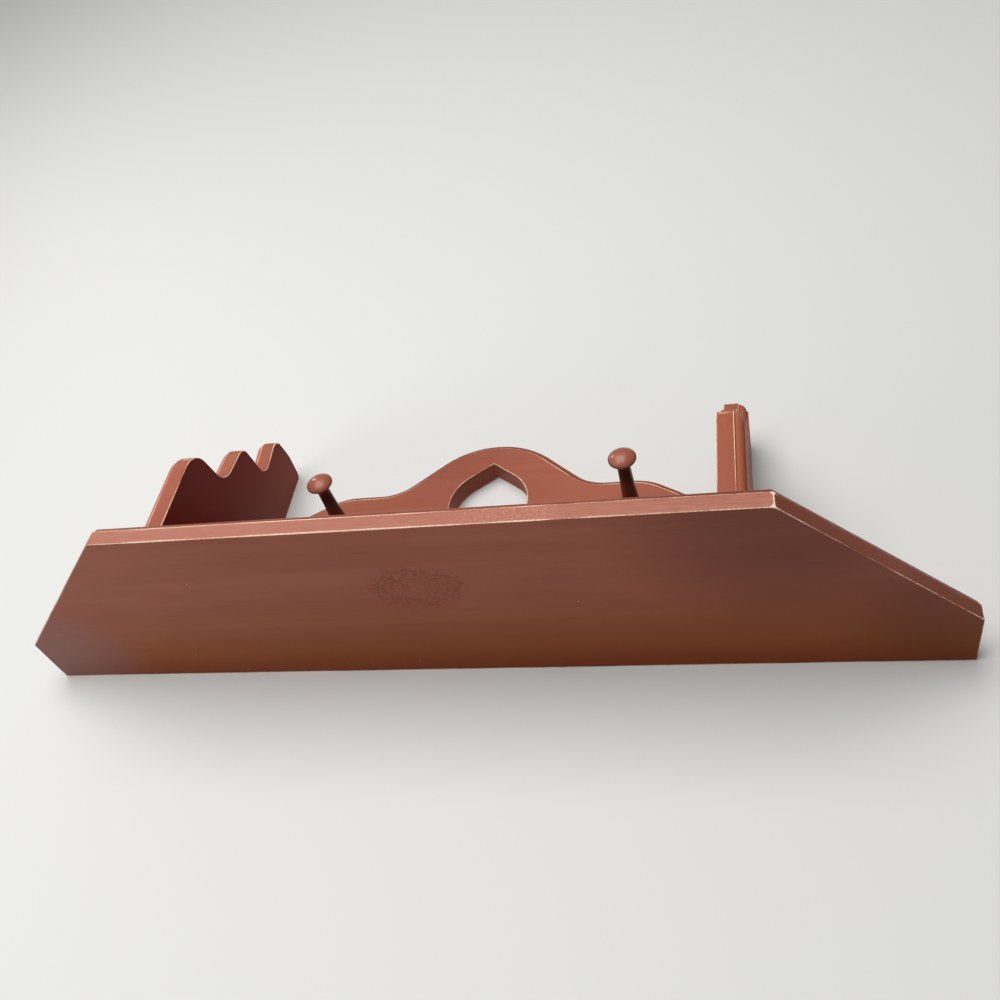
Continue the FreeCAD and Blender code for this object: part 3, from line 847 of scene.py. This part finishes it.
class Paint(Tree):
    """Satin red paint, brushed along the wood's grain.

    Each method lays one trace of wear, ageing, painted light or painted shade over the colour so
    far, with its places and lengths in mm. They are called in this order, and wear, chip and finish
    always are.
    """

    def __init__(self, name, grain):
        super().__init__(name)
        self.coord = self.coordinates()
        self.grain = "xyz".index(grain)
        stretch = Vector((16, 16, 16))
        stretch[self.grain] = 1
        along = self.vector("MULTIPLY", self.coord, stretch)
        tone = self.noise(along, 3.0, 3.0)
        streak = self.noise(along, 26.0, 6.0, 0.65)
        self.brush = self.noise(along, 95.0, 3.0, 0.6)
        self.mottle = self.noise(self.coord, 9.0, 4.0)
        self.from_wall = self.axis("y")
        self.height = self.times(streak, 0.35)
        self.colour = paint_red
        self.tint(self.ramp(self.mottle, 0.3, 0.7, 0.0, 0.6), paint_brown)
        self.tint(self.ramp(tone, 0.35, 0.75, 0.0, 0.4), paint_light)
        self.tint(self.ramp(streak, 0.5, 0.8, 0.0, 0.26), paint_dark)
        self.tint(self.ramp(self.brush, 0.55, 0.8, 0.0, 0.22), paint_light)

    def tint(self, share, other):
        """Covers a share of the colour so far with another one."""
        self.colour = self.mix(share, self.colour, other)

    def axis(self, name):
        """Place along one axis of the part."""
        return self.node("SeparateXYZ", {0: self.coord}, "xyz".index(name))

    def attribute(self, name):
        """Wear distance kept in the mesh."""
        return self.node("Attribute", output=2, attribute_name=name)

    def distance(self, place):
        return self.vector("DISTANCE", self.coord, Vector(place) * MM, 1)

    def near(self, place, radius, most, core=0.0):
        """Most within a core share of a radius round a place, and none beyond the radius."""
        return self.ramp(self.distance(place), core * radius * MM, radius * MM, most, 0.0)

    def wall_reflection_and_shade(self, share):
        """Browner and darker towards the wall as painted reflection and painted shade, with grime
        and a painted shadow line in the last few mm; but not on what faces the wall.
        """
        # layers: painted reflection, painted shade with grime, and a painted shadow line with grime
        layers = ((120, share, paint_reflected_brown), (35, 0.55, paint_grime_and_shade), (4, 0.35, paint_deep))
        last = -0.3 * MM
        before_wall = self.math("LESS_THAN", self.from_wall, last)
        for start, most, darker in layers:
            nearer = self.ramp(self.from_wall, -start * MM, last, 0.0, most)
            self.tint(self.times(nearer, before_wall), darker)

    def shade_along(self, axis, start, end, most, darker):
        """Painted shade along an axis, from none at start to most at end."""
        self.tint(self.ramp(self.axis(axis), start * MM, end * MM, 0.0, most), darker)

    def shade(self, place, radius, share, other):
        """A place of another colour: a painted shade, painted light or painted sheen."""
        self.tint(self.near(place, radius, share, 0.2), other)

    def fade(self, share, reach=100):
        """Plain brown towards the wall, a painted reflection."""
        self.tint(self.ramp(self.from_wall, -reach * MM, 0.0, 0.0, share), paint_brown)

    def rub(self, depth, soft=0.5):
        """Paint sanded lighter beyond a depth, along the brush strokes."""
        front = self.ramp(self.from_wall, -depth * MM, (soft - depth) * MM, 1.0, 0.0)
        strokes = self.ramp(self.brush, 0.3, 0.65, 0.55, 1.0)
        self.tint(self.times(front, strokes), paint_rubbed)

    def rout(self, colour, share, band_share=0.0):
        """Another colour on the quarter round, painted shade on the shelf and backboard and painted
        light on the brackets, and lighter paint on the band beside it.
        """
        rout = self.attribute("rout")
        if band_share:
            self.tint(self.times(rout, -band_share), paint_rubbed)
        self.tint(self.times(rout, share), colour)

    def knot(self, place, reach_along, reach_across):
        """Paint wrinkled over a knot, densest around its rim."""
        shrink = Vector((1 / (reach_across * MM),) * 3)
        shrink[self.grain] = 1 / (reach_along * MM)
        local = self.vector("SUBTRACT", self.coord, Vector(place) * MM)
        local = self.vector("MULTIPLY", local, shrink)
        size = self.vector("LENGTH", local, (0, 0, 0), 1)
        size = self.plus(size, self.times(self.noise(self.coord, 70.0, 4.0, 0.6), 0.7))
        broken = self.times(self.noise(self.coord, 210.0, 3.0, 0.6), 16.0)
        wrinkles = self.math("SINE", self.plus(self.times(size, 34.0), broken))
        inside = self.ramp(size, 0.45, 1.0, 0.45, 1.0)
        extent = self.times(inside, self.ramp(size, 1.1, 1.4, 1.0, 0.0))
        self.height = self.plus(self.height, self.times(self.times(wrinkles, extent), 0.6))
        dark = self.times(self.ramp(wrinkles, -0.6, 0.9, 0.3, 1.0), extent)
        patchy = self.ramp(self.noise(self.coord, 330.0), 0.3, 0.6, 0.3, 1.0)
        self.tint(self.times(self.times(dark, patchy), 0.6), paint_dark)

    def crack(self, start, end, width):
        """Drying crack from one point to another."""
        course = (Vector(end) - Vector(start)) * MM
        gap = self.vector("SUBTRACT", self.coord, Vector(start) * MM)
        along = self.vector("DOT_PRODUCT", gap, course / course.length_squared, 1)
        along = self.math("ADD", along, 0.0, clamp=True)
        apart = self.vector("DISTANCE", gap, self.vector("MULTIPLY", along, course), 1)
        apart = self.plus(apart, self.times(self.noise(self.coord, 400.0), width * MM))
        line = self.ramp(apart, 0.6 * width * MM, 1.1 * width * MM, 1.0, 0.0)
        self.height = self.minus(self.height, line)
        self.tint(self.times(line, 0.6), paint_deep)

    def thin(self, place, radius):
        """Ragged patch worn to the first coat."""
        rough = self.times(self.noise(self.coord, 260.0, 4.0, 0.6), radius * MM)
        gap = self.plus(self.distance(place), rough)
        patch = self.ramp(gap, 1.05 * radius * MM, 1.3 * radius * MM, 0.75, 0.0)
        self.tint(patch, paint_first)

    def wear(self, width, steady, spots=(), woods=(bare_light, bare_tan)):
        """Arrises rubbed through to the wood, in a ragged line of some width.

        The steadier the line, the less it is broken; spots are (place, radius, extra width).
        """
        slow = self.noise(self.coord, 14.0, 2.0)
        ragged = self.noise(self.coord, 520.0, 3.0, 0.6)
        reach = self.times(self.ramp(slow, 0.5 - steady, 0.6), width)
        jitter = self.times(self.minus(ragged, 0.5), 0.9)
        apart = self.plus(self.attribute("arris"), jitter)
        for place, radius, extra in spots:
            reach = self.plus(reach, self.near(place, radius, extra, 0.25))
        left = self.minus(reach, apart)
        self.tint(self.times(self.ramp(left, -0.9, 0.3), 0.4), paint_thin)
        self.bare = self.ramp(left, -0.08, 0.2)
        self.tint(self.bare, self.mix(self.ramp(self.mottle, 0.4, 0.7), *woods))

    def chip(self, places=()):
        """Flecks chipped to the wood at random; places (place, reach, share) have more."""
        usual, radius, rim = 0.008, 0.12, 0.08
        cells = self.nodes.new("ShaderNodeTexVoronoi")
        self.set(cells.inputs["Vector"], self.coord)
        self.set(cells.inputs["Scale"], 230.0)
        chance = self.node("SeparateColor", {0: cells.outputs["Color"]})
        limit = 1 - usual
        for place, reach, share in places:
            limit = self.minus(limit, self.near(place, reach, share))
        chosen = self.math("GREATER_THAN", chance, limit)
        ragged = self.times(self.noise(self.coord, 1500.0, 2.0), 0.16)
        apart = self.plus(cells.outputs["Distance"], ragged)
        self.fleck = self.times(chosen, self.ramp(
            apart, radius * 0.6 + rim, radius + rim, 1.0, 0.0))
        self.tint(self.times(self.fleck, 0.5), bare_light)

    def scuffs_and_highlight(self, place, length, depth):
        """Slanting scuffed strokes, lighter as a painted highlight on them, round a place, beyond a
        depth only.
        """
        beyond = self.math("LESS_THAN", self.from_wall, -depth * MM)
        near = self.times(self.near(place, length, 1.0, 0.3), beyond)
        strokes = self.node("CombineXYZ", {
            0: self.vector("DOT_PRODUCT", self.coord, (1.0, 0.0, 0.6), 1),
            1: self.vector("DOT_PRODUCT", self.coord, (-0.25, 0.0, 0.35), 1),
        })
        limit = self.minus(0.66, self.times(near, 0.16))
        marks = self.noise(strokes, 760.0, 3.0, 0.7)
        marks = self.times(self.ramp(self.minus(marks, limit), 0.0, 0.16), near)
        self.tint(self.times(marks, 0.45), paint_scuff_highlight)

    def finish(self, shine, roughness=0.42):
        """Paint gathered in the hollows with painted shade there, sheen and relief; gives the
        material.
        """
        # painted shade in the hollows, with paint gathered there
        self.tint(self.ramp(self.attribute("hollow"), 0.0, 0.7, 0.6, 0.0), paint_deep)
        dull = self.ramp(self.brush, 0.3, 0.7, roughness - 0.05, roughness + 0.07)
        dull = self.plus(dull, self.times(self.bare, 0.25))
        self.shader.inputs["Specular IOR Level"].default_value = shine
        relief = self.plus(self.height, self.times(self.brush, 0.35))
        relief = self.plus(relief, self.times(self.noise(self.coord, 700.0, 2.0), 0.25))
        relief = self.minus(relief, self.times(self.bare, 0.5))
        relief = self.minus(relief, self.times(self.fleck, 0.6))
        return self.surface(self.colour, dull, relief, 0.35, 0.12)


def shelf_paint():
    """Shelf board: browner towards the wall as painted reflection and painted shade, painted shade
    and a painted sheen at its ends, rubbed in front, with knots and a drying crack.
    """
    front, end = (-shelf_front_half, -shelf_depth), (-shelf_end, -shelf_end_depth)
    paint = Paint("shelf_paint", "x")
    # painted reflection and painted shade towards the wall
    paint.wall_reflection_and_shade(0.96)
    # painted shade near the front corner at -X and along the -X end
    paint.shade((-240, -165, shelf_top), 135, 0.48, paint_deep)
    paint.shade((-340, -60, shelf_top - 6), 90, 0.4, paint_deep)
    # painted sheen towards the +X end
    paint.shade((350, -30, shelf_top), 105, 0.6, paint_sheen_mauve)
    paint.rub(shelf_depth)
    # painted shade on the quarter round
    paint.rout(paint_shade, 0.52)
    paint.knot((9, -106, shelf_top), 40, 26)
    paint.knot((-205, -60, shelf_top - 18), 18, 14)
    paint.crack((27, -121, shelf_top), (13, -107.5, shelf_top), 0.8)
    paint.wear(0.6, 0.2, spots=(
        ((*front, shelf_top - 0.5), 3, 0.7),
        ((*front, shelf_top - 6), 9, 0.3),
        ((*front, shelf_top - 11.5), 2.5, 0.5),
        ((*end, shelf_top - 6), 8, 0.5),
        ((-295, -108, shelf_top), 90, -0.4),
        ((300, -105, shelf_top), 90, -0.3),
        ((-348, -55, shelf_top), 45, -0.35),
    ))
    paint.chip([((-226, -170, shelf_top), 7, 0.5)])
    # scuffed marks with a painted highlight
    paint.scuffs_and_highlight((-71, -shelf_depth, shelf_top - 9.5), 62, shelf_depth - 0.3)
    return paint.finish(0.11)


def backboard_paint():
    """Backboard: painted shade beside the heart, painted light on its left part and on the heart's
    left wall, painted shade on the quarter round, a knot behind.
    """
    face = -backboard_thickness
    paint = Paint("backboard_paint", "x")
    # painted shade on the hump beside the heart
    paint.shade((40, face, -145), 80, 0.18, paint_deep)
    # painted light on the left part and on the heart's left wall
    paint.shade((-110, face, -110), 110, 0.3, paint_light)
    paint.shade((-26, -3, -104), 16, 0.5, paint_light)
    # painted shade on the quarter round
    paint.rout(paint_shade, 0.6)
    paint.knot((-110, 0, -20), 20, 16)
    paint.wear(0.5, 0.18)
    paint.chip()
    return paint.finish(0.07)


def bracket_paint(name, side):
    """Bracket: inner face darkened deep red as painted shade, routed rim lighter as painted light,
    browner towards the wall as painted reflection, worn at the nose and heel.
    """
    nose = shelf_top - bracket_steps[0][1]
    rim, woods = (paint_lit_rim, 0.72), (bare_light, bare_tan)
    if side < 0:
        nose -= left_bracket_extra + left_nose_extra
        rim, woods = (paint_lit_rim_warm, 0.6), (bare_gold, bare_amber)
    paint = Paint("bracket_paint_" + name, "z")
    inner = side * bracket_inner
    # painted shade on the inner face
    paint.shade_along("x", inner + side * 0.6, inner + side * 0.1, 0.9, paint_inner_shade)
    # painted reflection towards the wall
    paint.fade(0.6)
    # painted light on the routed rim
    paint.rout(*rim, band_share=0.04)
    paint.thin((side * 202, -143, nose + 8), 6)
    paint.wear(0.4, 0.2, woods=woods, spots=(
        ((side * 200, -143, nose + 9), 14, 0.25),
        ((side * 198, -54, shelf_top - 208), 8, 0.3),
    ))
    paint.chip()
    return paint.finish(0.03)


def peg_paint(name, neck):
    """Peg: glossier, with painted shade and deeper paint at the neck under the head."""
    paint = Paint("peg_paint_" + name, "y")
    # painted shade on the shaft under the head, with deeper paint
    paint.shade_along("y", neck.y - 8, neck.y - 1, 0.85, paint_deep)
    # painted shadow right under the head
    paint.shade(neck + Vector((0, 6, 0)), 15, 0.8, paint_shadow_black)
    paint.wear(0.3, 0.1)
    paint.chip()
    return paint.finish(0.35, roughness=0.28)


def zinc(name, tint):
    """Zinc plated steel with a faint spangle and fine scratches."""
    tree = Tree(name)
    coord = tree.coordinates()
    spangle = tree.noise(coord, 260.0, 3.0)
    lines = tree.noise(tree.vector("MULTIPLY", coord, Vector((9, 9, 1))), 300.0, 3.0)
    dull = tuple(share * 0.62 for share in tint[:3]) + (1.0,)
    colour = tree.mix(tree.ramp(spangle, 0.3, 0.7), tint, dull)
    tree.shader.inputs["Metallic"].default_value = 1.0
    return tree.surface(colour, tree.ramp(lines, 0.3, 0.7, 0.28, 0.5), lines, 0.25, 0.05)


def bare_wood(name):
    """Unpainted beech of the dowels."""
    tree = Tree(name)
    pores = tree.noise(tree.coordinates(), 500.0, 4.0)
    colour = tree.mix(tree.ramp(pores, 0.35, 0.7), beech_light, beech_dark)
    return tree.surface(colour, tree.ramp(pores, 0.3, 0.7, 0.5, 0.7))


# ------------------------------ stage

stage_half, stage_gap = 12.0, 0.0006  # half width, and room behind the part
camera_lens = 36.553  # for a picture 36 mm wide
camera_place = (-0.22848, -0.63780, 0.43921)
camera_angles = (-50.2930, 6.9900, 166.3990)
aim = (0, 0, -0.05)  # middle of the part, where the lamps point
warm_white, cool_white, peach = (1.0, 0.98, 0.96), (0.96, 0.98, 1.0, 1), (1.0, 0.9, 0.8)


def pale_stage():
    """Large pale wall behind the part, open to the eye from its own back."""
    mesh = bpy.data.meshes.new("stage_wall")
    signs = ((-1, -1), (1, -1), (1, 1), (-1, 1))
    corners = [(x * stage_half, stage_gap, z * stage_half) for x, z in signs]
    mesh.from_pydata(corners, [], [(0, 1, 2, 3)])
    wall = add_object("stage_wall", mesh)
    tree = Tree("stage_pale")
    tree.surface(stage_grey, 0.7)
    clear = tree.node("BsdfTransparent")
    behind = tree.node("NewGeometry", output="Backfacing")
    both = tree.node("MixShader", {0: behind, 1: tree.shader.outputs[0], 2: clear})
    tree.links.new(both, tree.nodes["Material Output"].inputs["Surface"])
    mesh.materials.append(tree.material)
    wall.visible_shadow = False


def area_light(name, place, target, size, power, colour=(1, 1, 1)):
    """Square lamp that faces a target; size in metres, power in watts."""
    light = bpy.data.lights.new(name, "AREA")
    light.energy = power
    light.size = size
    light.color = colour
    lamp = add_object(name, light)
    lamp.location = place
    lamp.rotation_euler = (Vector(target) - Vector(place)).to_track_quat("-Z", "Y").to_euler()
    return lamp


def studio():
    """Soft light on the part's front, and a glint that shows only as a highlight."""
    world = bpy.data.worlds.new("soft_studio")
    world.use_nodes = True
    back = world.node_tree.nodes["Background"]
    back.inputs["Color"].default_value = cool_white
    back.inputs["Strength"].default_value = 0.15
    bpy.context.scene.world = world
    area_light("ceiling", (0.35, -2.2, -0.2), aim, 1.9, 64, warm_white)
    area_light("window", (0.5, -1.6, -1.3), aim, 1.8, 4)
    area_light("side", (1.3, -0.5, 0.9), (0.3, 0, 0), 0.8, 8)
    area_light("back", (0.2, 2.2, -1.0), aim, 1.6, 30)
    glint = area_light("glint", (1.1, -0.64, -1.1), aim, 0.25, 4.5, peach)
    glint.visible_diffuse = False
    bpy.context.scene.view_settings.view_transform = "Standard"


def camera():
    """Camera that looks down on the shelf's top from its front."""
    lens = bpy.data.cameras.new("photo_camera")
    lens.lens = camera_lens
    lens.sensor_width = 36.0
    eye = add_object("photo_camera", lens)
    eye.location = camera_place
    eye.rotation_euler = [math.radians(angle) for angle in camera_angles]
    bpy.context.scene.camera = eye


# ------------------------------ the part

def main():
    dress(make_shelf(), shelf_paint(), "painted_wood", "shelf_board")
    dress(make_backboard(), backboard_paint(), "painted_wood", "backboard")
    for name, side in (("left", -1), ("right", 1)):
        bracket = make_bracket(side, "bracket_" + name + "_painted")
        dress(bracket, bracket_paint(name, side), "painted_wood", "bracket_" + name)
        peg, neck = make_peg("peg_" + name)
        dress(peg, peg_paint(name, neck), "painted_wood", "peg_" + name)
    plate_steel = zinc("plate_zinc", plate_tint)
    screw_steel = zinc("screw_zinc", screw_tint)
    beech = bare_wood("dowel_beech")
    for name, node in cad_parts.items():
        if node.hide_render:
            continue
        kind = plate_steel if "plate" in name else screw_steel if "screws" in name else beech
        node.data.materials.clear()
        node.data.materials.append(kind)
    pale_stage()
    studio()
    camera()


main()
